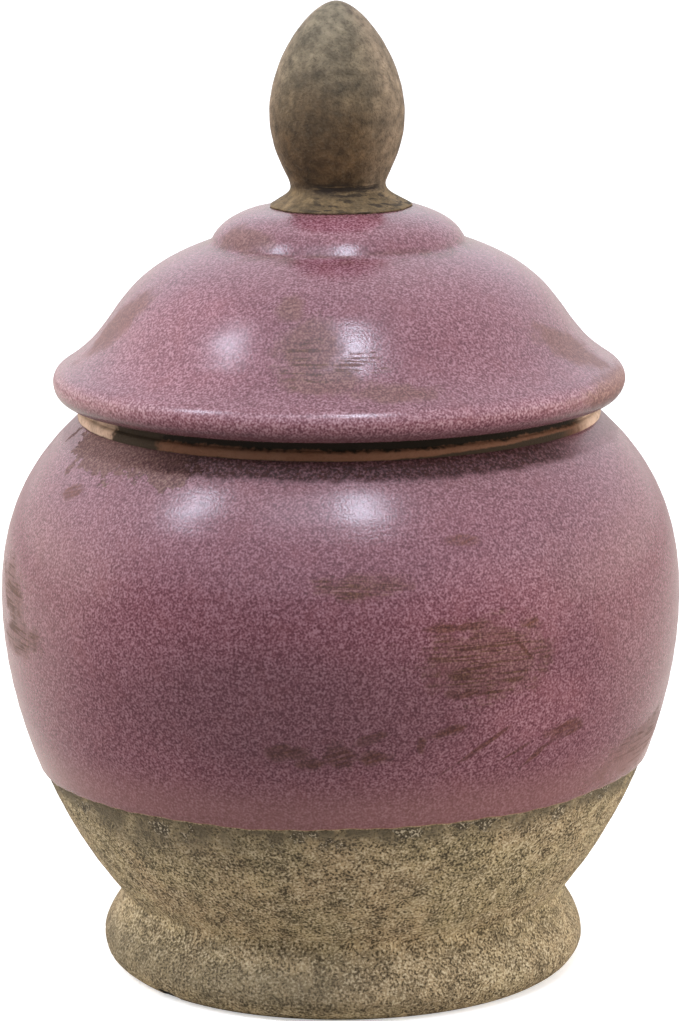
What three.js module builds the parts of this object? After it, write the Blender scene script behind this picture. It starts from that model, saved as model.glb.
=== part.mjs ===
// A lidded clay storage jar: a round-bellied jar on a flared foot, dipped in glaze to a line above the foot,
// under a glazed, domed lid with a rolled rim and a bare clay bud for a knob.
// Millimetres, +Z up. The origin is on the table, on the jar's axis.
import * as THREE from "three";

// Layers between the clay sections and on them
const SLIP_GAP = 0.3; // slip that lutes two clay sections together
const GLAZE_BED = 0.2; // bonding layer under the glaze
const GLAZE_THICKNESS = 0.7;

// Foot ring
const FOOT_HEIGHT = 23.6; // table to the crease under the bowl
const CREASE_RADIUS = 68.8; // where the foot meets the bowl
const FOOT_RADIUS = 75; // at the bulge
const FOOT_BULGE_HEIGHT = 8.4; // the bulge above the table
const FOOT_TREAD_RADIUS = 69.6; // outer edge of the flat tread
const FOOT_WALL = 10.8; // at the crease
const FOOT_TUCK_CURVE = { start: pull(0.15, 0.14), end: pull(0, 0.69) }; // tread to bulge
const FOOT_FLARE_CURVE = { start: pull(0, 0.38), end: pull(0.23, 0.37) }; // bulge to crease

// Lower bowl
const BOWL_DEPTH = 92.9; // crease to the widest place
const BELLY_RADIUS = 104.1; // clay under the glaze
const JAR_WALL = 7;
const FLOOR_THICKNESS = 10; // over the plug
const FLOOR_FILLET_WIDTH = 16; // curve from the floor into the wall
const FLOOR_FILLET_HEIGHT = 8;
const PLUG_DEPTH = 3; // base of the bowl let into the foot ring
const BOWL_CURVE = { start: pull(0.61, 0.27), end: pull(0, 0.34) }; // crease to belly
const FLOOR_CURVE = { start: pull(0.3, 0.8), end: pull(0.5, 0) }; // wall to floor

// Shoulder
const SHOULDER_RISE = 55.7; // widest place to the neck
const SEAM_LAP = 4; // height of the stepped seam between the bowl and the shoulder
const SHOULDER_CURVE = { start: pull(0, 0.45), end: pull(0.65, 0.25) }; // belly to neck

// Neck collar
const NECK_RADIUS = 80.4; // over the bead
const NECK_HEIGHT = 6.5;
const NECK_WALL = 6.2; // above the bead
const NECK_BEAD = 1.4; // radius of the bead at its base
const NECK_LIP = 1.2; // rounding of the upper edge

// Lid
const SEAT_GAP = 0.3; // lid resting on the neck
const RIM_OVERHANG = 6.5; // lid rim beyond the neck's bead
const RIM_ROLL = 4.9; // radius of the rolled rim
const RIM_DROP = 0.3; // rolled rim below the lid's seat
const RIM_JOIN = THREE.MathUtils.degToRad(58); // angle on the roll where the dome flows into it
const DOME_RISE = 47; // seat to the crease under the crown
const CROWN_RADIUS = 38;
const CROWN_RISE = 10.2;
const LID_WALL = 7;
const DOME_CURVE = { start: pull(0.44, 0.33), end: pull(0.72, 0.29) }; // rim to crease
const CROWN_CURVE = { start: pull(0.16, 0.36), end: pull(0.59, 0.19) }; // crease to finial

// Locating flange under the lid
const FLANGE_CLEARANCE = 1.8; // to the mouth, all round
const FLANGE_WALL = 6;
const FLANGE_DEPTH = 14; // below the lid's seat
const FLANGE_REBATE = 3; // let into the lid
const FLANGE_CHAMFER = 1.5;

// Finial
const FINIAL_BASE_RADIUS = 22.7;
const FINIAL_EDGE = 0.7; // upright edge of the flared collar
const FLARE_RISE = 6.3; // collar to the waist
const WAIST_RADIUS = 14.6;
const BUD_RADIUS = 20.5;
const BUD_LOWER_RISE = 21; // waist to the widest place
const BUD_UPPER_RISE = 34.2; // widest place to the tip
const FINIAL_WALL = 6;
const VENT_RADIUS = 3; // lets the hollow bud breathe in the kiln
const TENON_RADIUS = 11;
const TENON_SHOWING = 2; // tenon below the crown's underside
const FLARE_CURVE = { start: pull(0.65, 0.45), end: pull(0, 0.43) }; // collar to waist
const BUD_LOWER_CURVE = { start: pull(0, 0.11), end: pull(0, 0.56) }; // waist to widest place
const BUD_UPPER_CURVE = { start: pull(0, 0.49), end: pull(0.38, 0) }; // widest place to tip
const HOLLOW_UPPER_CURVE = { start: pull(0.5, 0), end: pull(0, 0.5) };
const HOLLOW_LOWER_CURVE = { start: pull(0, 0.6), end: pull(0.8, 0) };

// Glaze coats
const GLAZE_LINE_HEIGHT = 65.7; // dipping line above the table
const NECK_BARE = 1.6; // wiped clean below the neck
const COLLAR_BARE = 0.5; // wiped clean round the finial
const RIM_GLAZE_START = THREE.MathUtils.degToRad(-60); // angle under the roll where the coat ends

// Finishes
const BARE_CLAY = { color: "#8a795d", roughness: 0.95, metalness: 0 };
const NECK_CLAY = { color: "#a8714c", roughness: 0.9, metalness: 0 };
const FINIAL_CLAY = { color: "#75654f", roughness: 0.9, metalness: 0 };
const PLUM_GLAZE = { color: "#976873", roughness: 0.35, metalness: 0 };

// Fineness of the turned surfaces
const ROUND_STEPS = 36;
const CURVE_STEPS = 6;
const ROLL_STEPS = 8;
const BEAD_STEPS = 4;

// Heights and radii where pieces meet
const plugBottom = FOOT_HEIGHT - PLUG_DEPTH;
const floorTop = plugBottom + FLOOR_THICKNESS;
const footBoreRadius = CREASE_RADIUS - FOOT_WALL;
const bellyHeight = FOOT_HEIGHT + BOWL_DEPTH;
const seamRadius = BELLY_RADIUS - JAR_WALL / 2;
const neckBase = bellyHeight + SHOULDER_RISE;
const neckTop = neckBase + NECK_HEIGHT;
const neckWallRadius = NECK_RADIUS - NECK_BEAD;
const mouthRadius = neckWallRadius - NECK_WALL;
const lidSeat = neckTop + SEAT_GAP;
const creaseHeight = lidSeat + DOME_RISE;
const crownTop = creaseHeight + CROWN_RISE;
const flangeOuter = mouthRadius - FLANGE_CLEARANCE;
const flangeInner = flangeOuter - FLANGE_WALL;
const tenonHole = TENON_RADIUS + SLIP_GAP;
const finialSeat = crownTop + SLIP_GAP;
const flareHeight = finialSeat + FINIAL_EDGE;
const waistHeight = flareHeight + FLARE_RISE;
const budHeight = waistHeight + BUD_LOWER_RISE;
const tipHeight = budHeight + BUD_UPPER_RISE;

// A point of an outline: its distance from the axis and its height above the table.
function at(radius, height) {
  return new THREE.Vector2(radius, height);
}

// How far a thrown curve keeps its end's own direction, as shares of its span across and up.
function pull(across, up) {
  return new THREE.Vector2(across, up);
}

function thrownCurve(from, curve, to) {
  const span = to.clone().sub(from);
  const leaving = from.clone().add(curve.start.clone().multiply(span));
  const arriving = to.clone().sub(curve.end.clone().multiply(span));
  return new THREE.CubicBezierCurve(from, leaving, arriving, to).getPoints(CURVE_STEPS);
}

function roundStretch(centre, radius, startAngle, endAngle, steps) {
  return new THREE.EllipseCurve(centre.x, centre.y, radius, radius, startAngle, endAngle).getPoints(steps);
}

// An outline moved sideways, outwards where it runs upwards; corners are mitred.
function offsetOutline(points, distance) {
  const sides = points.slice(1).map((point, i) => {
    const along = point.clone().sub(points[i]).normalize();
    return new THREE.Vector2(along.y, -along.x);
  });
  return points.map((point, i) => {
    const before = sides[Math.max(i - 1, 0)];
    const after = sides[Math.min(i, sides.length - 1)];
    const mitre = before.clone().add(after).normalize();
    return point.clone().addScaledVector(mitre, distance / mitre.dot(after));
  });
}

// The stretch of an outline between two values of x or y, cut exactly there.
function stretch(points, axis, low, high) {
  const kept = [];
  points.forEach((point, i) => {
    const before = points[i - 1] ?? point;
    const crossings = [low, high]
      .map((limit) => (limit - before[axis]) / (point[axis] - before[axis]))
      .filter((share) => share > 0 && share < 1)
      .sort((a, b) => a - b);
    kept.push(...crossings.map((share) => before.clone().lerp(point, share)));
    if (point[axis] >= low && point[axis] <= high) {
      kept.push(point);
    }
  });
  return kept;
}

function turned(outline) {
  const geometry = new THREE.LatheGeometry(outline, ROUND_STEPS);
  geometry.rotateX(Math.PI / 2);
  return geometry;
}

function turnedRing(outline) {
  return turned([...outline, outline[0]]);
}

function addPiece(group, name, geometry, finish) {
  const mesh = new THREE.Mesh(geometry, new THREE.MeshStandardMaterial(finish));
  mesh.name = name;
  group.add(mesh);
}

// Outer face of the jar's clay from the crease to the neck, and its inner face one wall further in.
const crease = at(CREASE_RADIUS, FOOT_HEIGHT);
const belly = at(BELLY_RADIUS, bellyHeight);
const bowlOutside = thrownCurve(crease, BOWL_CURVE, belly);
const shoulderOutside = thrownCurve(belly, SHOULDER_CURVE, at(neckWallRadius, neckBase));
const jarOutside = [...bowlOutside, ...shoulderOutside.slice(1)];
const jarInside = offsetOutline(jarOutside, -JAR_WALL);

function footRing() {
  const bulge = at(FOOT_RADIUS, FOOT_BULGE_HEIGHT);
  const tread = at(FOOT_TREAD_RADIUS, 0);
  const top = at(CREASE_RADIUS, FOOT_HEIGHT - SLIP_GAP);
  return turnedRing([
    at(footBoreRadius, 0),
    ...thrownCurve(tread, FOOT_TUCK_CURVE, bulge),
    ...thrownCurve(bulge, FOOT_FLARE_CURVE, top).slice(1),
    at(footBoreRadius, top.y),
  ]);
}

// The bowl's plug sits in the foot ring's bore, and its rim is stepped to lap the shoulder.
function lowerBowl() {
  const plugRadius = footBoreRadius - SLIP_GAP;
  const tongueRadius = seamRadius - SLIP_GAP / 2;
  const tongueTop = bellyHeight + SEAM_LAP;
  const inside = stretch(jarInside, "y", floorTop + FLOOR_FILLET_HEIGHT, tongueTop).reverse();
  const wallFoot = inside[inside.length - 1];
  const floorEdge = at(wallFoot.x - FLOOR_FILLET_WIDTH, floorTop);
  return turned([
    at(0, plugBottom),
    at(plugRadius, plugBottom),
    at(plugRadius, FOOT_HEIGHT),
    ...bowlOutside,
    at(tongueRadius, bellyHeight),
    at(tongueRadius, tongueTop),
    ...inside,
    ...thrownCurve(wallFoot, FLOOR_CURVE, floorEdge).slice(1),
    at(0, floorTop),
  ]);
}

function shoulder() {
  const rebateRadius = seamRadius + SLIP_GAP / 2;
  const rebateTop = bellyHeight + SEAM_LAP + SLIP_GAP;
  const skirtBottom = bellyHeight + SLIP_GAP;
  return turnedRing([
    at(rebateRadius, skirtBottom),
    ...stretch(shoulderOutside, "y", skirtBottom, neckBase),
    at(mouthRadius, neckBase),
    ...stretch(jarInside, "y", rebateTop, neckBase).reverse(),
    at(rebateRadius, rebateTop),
  ]);
}

// A short collar with a bead at its base and a flat land for the lid.
function neckCollar() {
  const base = neckBase + SLIP_GAP;
  const beadCentre = at(neckWallRadius, base + NECK_BEAD);
  const lipCentre = at(neckWallRadius - NECK_LIP, neckTop - NECK_LIP);
  return turnedRing([
    at(mouthRadius, base),
    ...roundStretch(beadCentre, NECK_BEAD, -Math.PI / 2, Math.PI / 2, BEAD_STEPS),
    ...roundStretch(lipCentre, NECK_LIP, 0, Math.PI / 2, BEAD_STEPS),
    at(mouthRadius, neckTop),
  ]);
}

// Outer face of the lid's clay: the rolled rim, the dome and the raised crown up to the finial.
const rollCentre = at(NECK_RADIUS + RIM_OVERHANG - RIM_ROLL, lidSeat - RIM_DROP + RIM_ROLL);
const rollStart = Math.asin((RIM_ROLL - RIM_DROP) / RIM_ROLL) - Math.PI;
const rimRoll = roundStretch(rollCentre, RIM_ROLL, rollStart, RIM_JOIN, ROLL_STEPS);
const rollTop = rimRoll[rimRoll.length - 1];
const crownCrease = at(CROWN_RADIUS, creaseHeight);
const dome = thrownCurve(rollTop, DOME_CURVE, crownCrease);
const crown = thrownCurve(crownCrease, CROWN_CURVE, at(FINIAL_BASE_RADIUS, crownTop));
const domeAndCrown = [...dome, ...crown.slice(1)];

// The rolled rim seats on the neck, the flange is let into its underside and the finial into its crown.
function lidDome() {
  const rebateRadius = flangeOuter + SLIP_GAP;
  const rebateTop = lidSeat + FLANGE_REBATE;
  const underside = stretch(offsetOutline(domeAndCrown, -LID_WALL), "x", tenonHole, flangeInner);
  return turnedRing([
    at(flangeInner, rebateTop),
    at(rebateRadius, rebateTop),
    at(rebateRadius, lidSeat),
    ...rimRoll,
    ...domeAndCrown.slice(1),
    at(tenonHole, crownTop),
    at(tenonHole, underside[underside.length - 1].y),
    ...underside.reverse(),
  ]);
}

function lidFlange() {
  const bottom = lidSeat - FLANGE_DEPTH;
  const top = lidSeat + FLANGE_REBATE - SLIP_GAP;
  return turnedRing([
    at(flangeInner + FLANGE_CHAMFER, bottom),
    at(flangeOuter - FLANGE_CHAMFER, bottom),
    at(flangeOuter, bottom + FLANGE_CHAMFER),
    at(flangeOuter, top),
    at(flangeInner, top),
    at(flangeInner, bottom + FLANGE_CHAMFER),
  ]);
}

// A hollow bud on a flared collar, with a vented tenon through the crown.
function finial() {
  const tenonBottom = crownTop - LID_WALL - TENON_SHOWING;
  const base = at(FINIAL_BASE_RADIUS, flareHeight);
  const waist = at(WAIST_RADIUS, waistHeight);
  const bud = at(BUD_RADIUS, budHeight);
  const tip = at(0, tipHeight);
  const hollowTop = at(0, tipHeight - 2 * FINIAL_WALL);
  const hollowSide = at(BUD_RADIUS - FINIAL_WALL, budHeight);
  const hollowBottom = at(VENT_RADIUS, waistHeight + FINIAL_WALL);
  return turned([
    ...thrownCurve(hollowTop, HOLLOW_UPPER_CURVE, hollowSide),
    ...thrownCurve(hollowSide, HOLLOW_LOWER_CURVE, hollowBottom).slice(1),
    at(VENT_RADIUS, tenonBottom),
    at(TENON_RADIUS, tenonBottom),
    at(TENON_RADIUS, finialSeat),
    at(FINIAL_BASE_RADIUS, finialSeat),
    ...thrownCurve(base, FLARE_CURVE, waist),
    ...thrownCurve(waist, BUD_LOWER_CURVE, bud).slice(1),
    ...thrownCurve(bud, BUD_UPPER_CURVE, tip).slice(1),
  ]);
}

// A coat of even thickness on the clay along an outline.
function glazeCoat(clayFace) {
  const outside = offsetOutline(clayFace, GLAZE_BED + GLAZE_THICKNESS);
  const inside = offsetOutline(clayFace, GLAZE_BED);
  return turnedRing([...outside, ...inside.reverse()]);
}

function jarGlaze() {
  return glazeCoat(stretch(jarOutside, "y", GLAZE_LINE_HEIGHT, neckBase - NECK_BARE));
}

function lidGlaze() {
  const underRim = roundStretch(rollCentre, RIM_ROLL, RIM_GLAZE_START, RIM_JOIN, CURVE_STEPS);
  const overLid = stretch(domeAndCrown, "x", FINIAL_BASE_RADIUS + COLLAR_BARE, rollTop.x);
  return glazeCoat([...underRim, ...overLid.slice(1)]);
}

const jar = new THREE.Group();
addPiece(jar, "foot_ring", footRing(), BARE_CLAY);
addPiece(jar, "lower_bowl", lowerBowl(), BARE_CLAY);
addPiece(jar, "shoulder", shoulder(), BARE_CLAY);
addPiece(jar, "neck_collar", neckCollar(), NECK_CLAY);
addPiece(jar, "jar_glaze", jarGlaze(), PLUM_GLAZE);

const lid = new THREE.Group();
addPiece(lid, "lid_dome", lidDome(), BARE_CLAY);
addPiece(lid, "lid_flange", lidFlange(), NECK_CLAY);
addPiece(lid, "finial", finial(), FINIAL_CLAY);
addPiece(lid, "lid_glaze", lidGlaze(), PLUM_GLAZE);

const storageJar = new THREE.Group();
storageJar.add(jar);
storageJar.add(lid);

export default storageJar;
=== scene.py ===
import math

import bpy
import numpy as np
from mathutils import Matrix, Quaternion, Vector, noise


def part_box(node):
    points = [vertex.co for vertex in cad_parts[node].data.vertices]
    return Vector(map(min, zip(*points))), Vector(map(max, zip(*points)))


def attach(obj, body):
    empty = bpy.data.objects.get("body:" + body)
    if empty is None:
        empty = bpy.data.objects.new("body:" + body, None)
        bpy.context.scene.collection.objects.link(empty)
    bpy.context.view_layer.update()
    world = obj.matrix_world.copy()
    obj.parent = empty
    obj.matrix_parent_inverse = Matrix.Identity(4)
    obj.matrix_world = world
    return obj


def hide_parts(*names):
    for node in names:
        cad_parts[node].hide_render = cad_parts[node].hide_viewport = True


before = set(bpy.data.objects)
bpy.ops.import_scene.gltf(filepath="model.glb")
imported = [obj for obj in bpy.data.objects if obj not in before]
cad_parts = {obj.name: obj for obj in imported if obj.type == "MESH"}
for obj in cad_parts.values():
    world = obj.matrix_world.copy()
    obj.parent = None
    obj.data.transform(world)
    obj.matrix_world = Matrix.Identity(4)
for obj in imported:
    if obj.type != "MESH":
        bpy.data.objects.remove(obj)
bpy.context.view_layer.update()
scene = bpy.context.scene


# Studio: the jar stands on a wide sweep of white paper in a white room. Two narrow softboxes and a scrim make
# the glaze's highlights, a top softbox and two warm fills lift the shade, and the room is dark in front.
AIM_HEIGHT = 0.1417
VIEW_DISTANCE = 1.2926
VIEW_ELEVATION = 11.46
VIEW_ROLL = math.radians(-0.45)
LENS_MM = 147.46
SENSOR_MM = 36
PAPER_REACH = 6.0
PAPER_WHITE = (0.86, 0.86, 0.86, 1)
PAPER_FIBRE = (0.82, 0.82, 0.81, 1)
PAPER_BOUNCE = (0.54, 0.49, 0.42, 1)  # what the jar sees of it: painted darker than the white the camera sees, as shade
PAPER_MIRRORED = (0.2, 0.2, 0.2, 1)  # what the glaze mirrors of it in front: painted darker still, as shade
PAPER_LIFT = 0.5  # what the camera sees above its own white
DAYLIGHT = (0.76, 0.83, 1.0)
FILL_LIGHT = (1.0, 0.94, 0.86)
# Name, degrees round to the right and up, metres away, size, glow, colour, mirrored by the glaze or not.
SOFTBOXES = [
    ("front_softbox", 13, 60, 1.7, (0.16, 0.42), 38.0, DAYLIGHT, True),
    ("left_softbox", -71, 47, 1.7, (0.15, 0.44), 34.0, DAYLIGHT, True),
    ("top_softbox", 180, 78, 1.9, (1.6, 1.2), 2.4, DAYLIGHT, False),
    ("front_scrim", -6, 58, 1.75, (1.2, 0.5), 2.6, DAYLIGHT, True),
    ("left_fill", -98, 25, 1.6, (1.0, 1.0), 5.9, FILL_LIGHT, False),
    ("right_fill", 74, 14, 1.6, (1.0, 1.0), 5.9, FILL_LIGHT, False)]
ROOM_FRONT = (0.02, 0.02, 0.02, 1)
ROOM_SIDES = (1.9, 1.76, 1.58, 1)
ROOM_BACK = (1.8, 1.7, 1.56, 1)
ROOM_ABOVE_FRONT = (0.4, 0.4, 0.4, 1)
ROOM_ABOVE_BACK = (1.3, 1.3, 1.42, 1)
MIRROR_FRONT = (0.35, 0.35, 0.36, 1)  # the room in front as the glaze mirrors it
MIRROR_BACK = (1.1, 1.08, 1.03, 1)
MIRROR_ABOVE_FRONT = (1.33, 1.4, 1.55, 1)
MIRROR_ABOVE_BACK = (1.45, 1.56, 1.66, 1)
MIRROR_ZENITH = (1.65, 1.65, 1.7, 1)
ROOM_SKEW = 0.03  # the room is brighter on the right
SIDES_FROM, BACK_FROM, ABOVE_FROM = (-0.36, 0.1), (0.4, 0.85), (-0.3, 0.25)  # from front, -1, to back, 1
RISE_FROM, ZENITH_FROM = (0.05, 0.45), (0.6, 0.85)  # from level, 0, to straight up, 1
MIRRORED_SHADE_FROM = (0.1, -0.1)
FIBRE_SIZE = 3
WALL_WHITE = (1.0, 1.0, 1.0, 1)  # what the camera sees beyond the paper


def add(tree, kind, inputs=(), **settings):
    """Adds a shader node. Inputs maps sockets, by name or number, to values or to what feeds them."""
    made = tree.nodes.new("ShaderNode" + kind)
    for setting, value in settings.items():
        setattr(made, setting, value)
    for socket, value in dict(inputs).items():
        if isinstance(value, bpy.types.NodeSocket):
            tree.links.new(value, made.inputs[socket])
        else:
            made.inputs[socket].default_value = value
    return made


def compute(tree, operation, *values):
    return add(tree, "Math", dict(enumerate(values)), operation=operation).outputs[0]


def times(tree, product, *factors):
    for factor in factors:
        product = compute(tree, "MULTIPLY", product, factor)
    return product


def times_plus(tree, value, factor, more):
    return compute(tree, "MULTIPLY_ADD", value, factor, more)


def speckle(tree, place, size, detail=2, harshness=0.5):
    """Noise with spots about that many millimetres across, from 0 to 1 around a mean of 0.5."""
    inputs = {"Vector": place, "Scale": 1000 / size, "Detail": detail, "Roughness": harshness}
    return add(tree, "TexNoise", inputs).outputs[0]


def fade(tree, value, none, full):
    """0 where the value is at none and beyond, 1 at full and beyond, eased between."""
    inputs = {"Value": value, "From Min": none, "From Max": full}
    return add(tree, "MapRange", inputs, interpolation_type="SMOOTHSTEP").outputs[0]


def tint(tree, share, under, over, mode="MIX"):
    """Lays one colour over another by a share from 0 to 1."""
    return add(tree, "Mix", {0: share, 6: under, 7: over}, data_type="RGBA", blend_type=mode).outputs[2]


def new_material(name, **shader_inputs):
    """A material with its tree, its Principled shader with values set, and the place on the surface."""
    material = bpy.data.materials.new(name)
    material.use_nodes = True
    tree = material.node_tree
    shader = tree.nodes["Principled BSDF"]
    for socket, value in shader_inputs.items():
        shader.inputs[socket.replace("_", " ")].default_value = value
    return material, tree, shader, add(tree, "TexCoord").outputs["Object"]


def seen_from(azimuth, elevation, distance):
    """A point that far from the aim, by degrees round to the right of the camera and degrees up."""
    turn, tilt = math.radians(azimuth), math.radians(elevation)
    level = distance * math.cos(tilt)
    return Vector((level * math.sin(turn), -level * math.cos(turn), AIM_HEIGHT + distance * math.sin(tilt)))


def softbox(name, azimuth, elevation, distance, size, glow, colour, mirrored):
    """A lit panel that faces the jar. One that isn't mirrored lights the jar without showing in its glaze."""
    lamp = bpy.data.lights.new(name, "AREA")
    lamp.shape = "RECTANGLE"
    lamp.size, lamp.size_y = size
    lamp.energy = glow * math.pi * size[0] * size[1]
    lamp.color = colour
    holder = bpy.data.objects.new(name, lamp)
    holder.location = seen_from(azimuth, elevation, distance)
    towards = Vector((0, 0, AIM_HEIGHT)) - holder.location
    holder.rotation_euler = towards.to_track_quat("-Z", "Y").to_euler()
    holder.visible_camera = False
    holder.visible_glossy = mirrored
    scene.collection.objects.link(holder)


for panel in SOFTBOXES:
    softbox(*panel)

room = bpy.data.worlds.new("white_room")
room.use_nodes = True
tree = room.node_tree
direction = add(tree, "SeparateXYZ", {0: add(tree, "TexCoord").outputs["Generated"]})
depth = times_plus(tree, direction.outputs["X"], ROOM_SKEW, direction.outputs["Y"])
rays = add(tree, "LightPath").outputs
mirrored = rays["Is Glossy Ray"]
front = tint(tree, mirrored, ROOM_FRONT, MIRROR_FRONT)
above_front = tint(tree, mirrored, ROOM_ABOVE_FRONT, MIRROR_ABOVE_FRONT)
above_back = tint(tree, mirrored, ROOM_ABOVE_BACK, MIRROR_ABOVE_BACK)
beside = tint(tree, fade(tree, depth, *SIDES_FROM), front, ROOM_SIDES)
behind = tint(tree, mirrored, ROOM_BACK, MIRROR_BACK)
around = tint(tree, fade(tree, depth, *BACK_FROM), beside, behind)
above = tint(tree, fade(tree, depth, *ABOVE_FROM), above_front, above_back)
room_light = tint(tree, fade(tree, direction.outputs["Z"], *RISE_FROM), around, above)
zenith = times(tree, mirrored, fade(tree, direction.outputs["Z"], *ZENITH_FROM))
room_light = tint(tree, zenith, room_light, MIRROR_ZENITH)
room_light = tint(tree, rays["Is Camera Ray"], room_light, WALL_WHITE)
tree.links.new(room_light, tree.nodes["Background"].inputs["Color"])
scene.world = room

paper_mesh = bpy.data.meshes.new("paper")
corners = [(x * PAPER_REACH, y * PAPER_REACH, 0) for x, y in ((-1, -1), (1, -1), (1, 1), (-1, 1))]
paper_mesh.from_pydata(corners, [], [(0, 1, 2, 3)])
paper = bpy.data.objects.new("paper", paper_mesh)
scene.collection.objects.link(paper)
paper_finish, tree, shader, place = new_material("white_paper", Roughness=0.9)
paper_colour = tint(tree, speckle(tree, place, FIBRE_SIZE), PAPER_WHITE, PAPER_FIBRE)
rays = add(tree, "LightPath").outputs
to_camera = rays["Is Camera Ray"]
# Painted shade: in front, the paper's colour for glossy rays is darkened.
in_front = fade(tree, add(tree, "SeparateXYZ", {0: place}).outputs["Y"], *MIRRORED_SHADE_FROM)
mirrored = times(tree, rays["Is Glossy Ray"], in_front)
bounce = tint(tree, mirrored, PAPER_BOUNCE, PAPER_MIRRORED)
tree.links.new(tint(tree, to_camera, bounce, paper_colour), shader.inputs["Base Color"])
shader.inputs["Emission Color"].default_value = PAPER_WHITE
tree.links.new(times(tree, to_camera, PAPER_LIFT), shader.inputs["Emission Strength"])
paper_mesh.materials.append(paper_finish)

lens = bpy.data.cameras.new("camera")
lens.lens = LENS_MM
lens.sensor_width = SENSOR_MM
camera = bpy.data.objects.new("camera", lens)
camera.location = seen_from(0, VIEW_ELEVATION, VIEW_DISTANCE)
looking = (Vector((0, 0, AIM_HEIGHT)) - camera.location).to_track_quat("-Z", "Y")
camera.rotation_euler = (looking @ Quaternion((0, 0, 1), VIEW_ROLL)).to_euler()
scene.collection.objects.link(camera)
scene.camera = camera
scene.view_settings.view_transform = "Standard"


# Foot ring: a thick, flared ring of bare stoneware that the bowl stands on. It is thrown on its own, luted
# under the bowl with slip, and the joint is smoothed over with a wet finger. The tread has one small chip,
# whose face is painted near black as the shadow in it.
MILLIMETRE = 0.001
ROUND_STEPS = 540
FINE_STEP = 0.2
CURVE_SAMPLES = 120
LONGEST_STEP = 2.5
SHARPEST_TURN = math.radians(9)
CREASE_RADIUS = 68.8
TREAD_RADIUS = 69.6
FOOT_BORE = 58.0
BULGE_HEIGHT = 8.4
SLIP_GAP = 0.3
FEATHER = 3.0  # how far the smoothed joint runs up on to the bowl
FEATHER_EDGE, FEATHER_DEPTH = 0.05, 2.5
BORE_LEAD = 4
FOOT_WEAR = 1.3  # rounding of the foot's edges
CLAY_STEP = 0.75  # spacing that shows pits in bare clay
OUT_OF_ROUND = 0.16
RING_DEPTH = 0.05
RING_PITCH = 6.8
PIT_SIZE, PIT_DEPTH, PIT_ONSET = 2.4, 0.44, 0.12
LUMP_SIZE, LUMP_HEIGHT = 11.0, 0.22
CHIP = {"azimuth": -48.8, "half_width": 2.8, "rise": 2.2, "depth": 0.5}
BARE_CLAY = (0.343, 0.274, 0.15, 1)
CLAY_WARM = (0.4, 0.3, 0.17, 1)
CLAY_PIT = (0.045, 0.032, 0.016, 1)
CLAY_FLECK = (0.68, 0.58, 0.4, 1)
CLAY_SMUDGE = (0.125, 0.1, 0.062, 1)
SMUDGE_SHARE = 0.3  # how much of it lies in the crease
SCUFF_SHARE = 0.4  # and on the foot's bulge, on the left
CRUST_DARK = (0.03, 0.023, 0.014, 1)
CRUST_PALE = (0.56, 0.49, 0.37, 1)
CRUST_SHARE = 0.62
FOOT_CLAY = (0.3, 0.238, 0.134, 1)
FOOT_WARM = (0.325, 0.246, 0.141, 1)
CHIP_PAINTED_SHADOW = (0.008, 0.007, 0.005, 1)
CLOUD_SIZE, PATCH_SIZE, CLUSTER_SIZE, GRAIN_SIZE = 26, 7, 4.5, 0.75
CLAY_RELIEF = (0.8, 0.0005)
SCUFF_HEIGHTS = (4, 8, 13, 19)
SOIL_SIDE = (-62, -46, -36, -8)  # degrees round, where it hangs lower from the glaze line
SIDE_TONE = (0.94, 1.04)  # the clay darker on the left than on the right
HEIGHT_TONE = (0.98, 0.80)  # and darker near the glaze than low down


def extent(node):
    """A turned node's largest radius, bottom and top, in millimetres."""
    low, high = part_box(node)
    return high.x / MILLIMETRE, low.z / MILLIMETRE, high.z / MILLIMETRE


def curve(start, start_pull, end_pull, end):
    """A thrown curve. Its pulls say how far each end keeps its direction, in shares of the span."""
    start, end = np.array(start), np.array(end)
    span = end - start
    leaving, arriving = start + start_pull * span, end - end_pull * span
    t = np.linspace(0, 1, CURVE_SAMPLES)[:, None]
    from_start = (1 - t) ** 3 * start + 3 * (1 - t) ** 2 * t * leaving
    return from_start + 3 * (1 - t) * t ** 2 * arriving + t ** 3 * end


def face_radius(face, height):
    """Radius of an outer face, listed upwards, at a height."""
    return np.interp(height, face[:, 1], face[:, 0])


def outline(*stretches, wear, closed=True, spacing=LONGEST_STEP):
    """Joins stretches into an outline, rounds its corners by the wear and keeps the points it needs."""
    points = np.vstack([np.atleast_2d(stretch) for stretch in stretches])
    if closed:
        points = np.vstack([points, points[:1]])
    steps = np.hypot(*np.diff(points, axis=0).T)
    along = np.insert(np.cumsum(steps), 0, 0)
    even = np.linspace(0, along[-1], int(along[-1] / FINE_STEP), endpoint=not closed)
    points = np.stack([np.interp(even, along, column) for column in points.T], 1)
    reach = max(1, round(wear / FINE_STEP))
    window = np.hanning(2 * reach + 3)[1:-1]
    ends = {"mode": "wrap"} if closed else {"mode": "reflect", "reflect_type": "odd"}
    padded = np.pad(points, ((reach, reach), (0, 0)), **ends)
    points = np.stack([np.convolve(column, window / window.sum(), "valid") for column in padded.T], 1)
    kept = [points[0]]
    length, turning = 0.0, 0.0
    for before, here, after in zip(points, points[1:], points[2:]):
        step, next_step = here - before, after - here
        length += np.hypot(*step)
        turning += abs(math.remainder(math.atan2(*next_step) - math.atan2(*step), math.tau))
        longest = spacing(here) if callable(spacing) else spacing
        if length >= longest or turning >= SHARPEST_TURN:
            kept.append(here)
            length, turning = 0.0, 0.0
    kept.append(points[-1])
    return np.array(kept)


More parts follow.
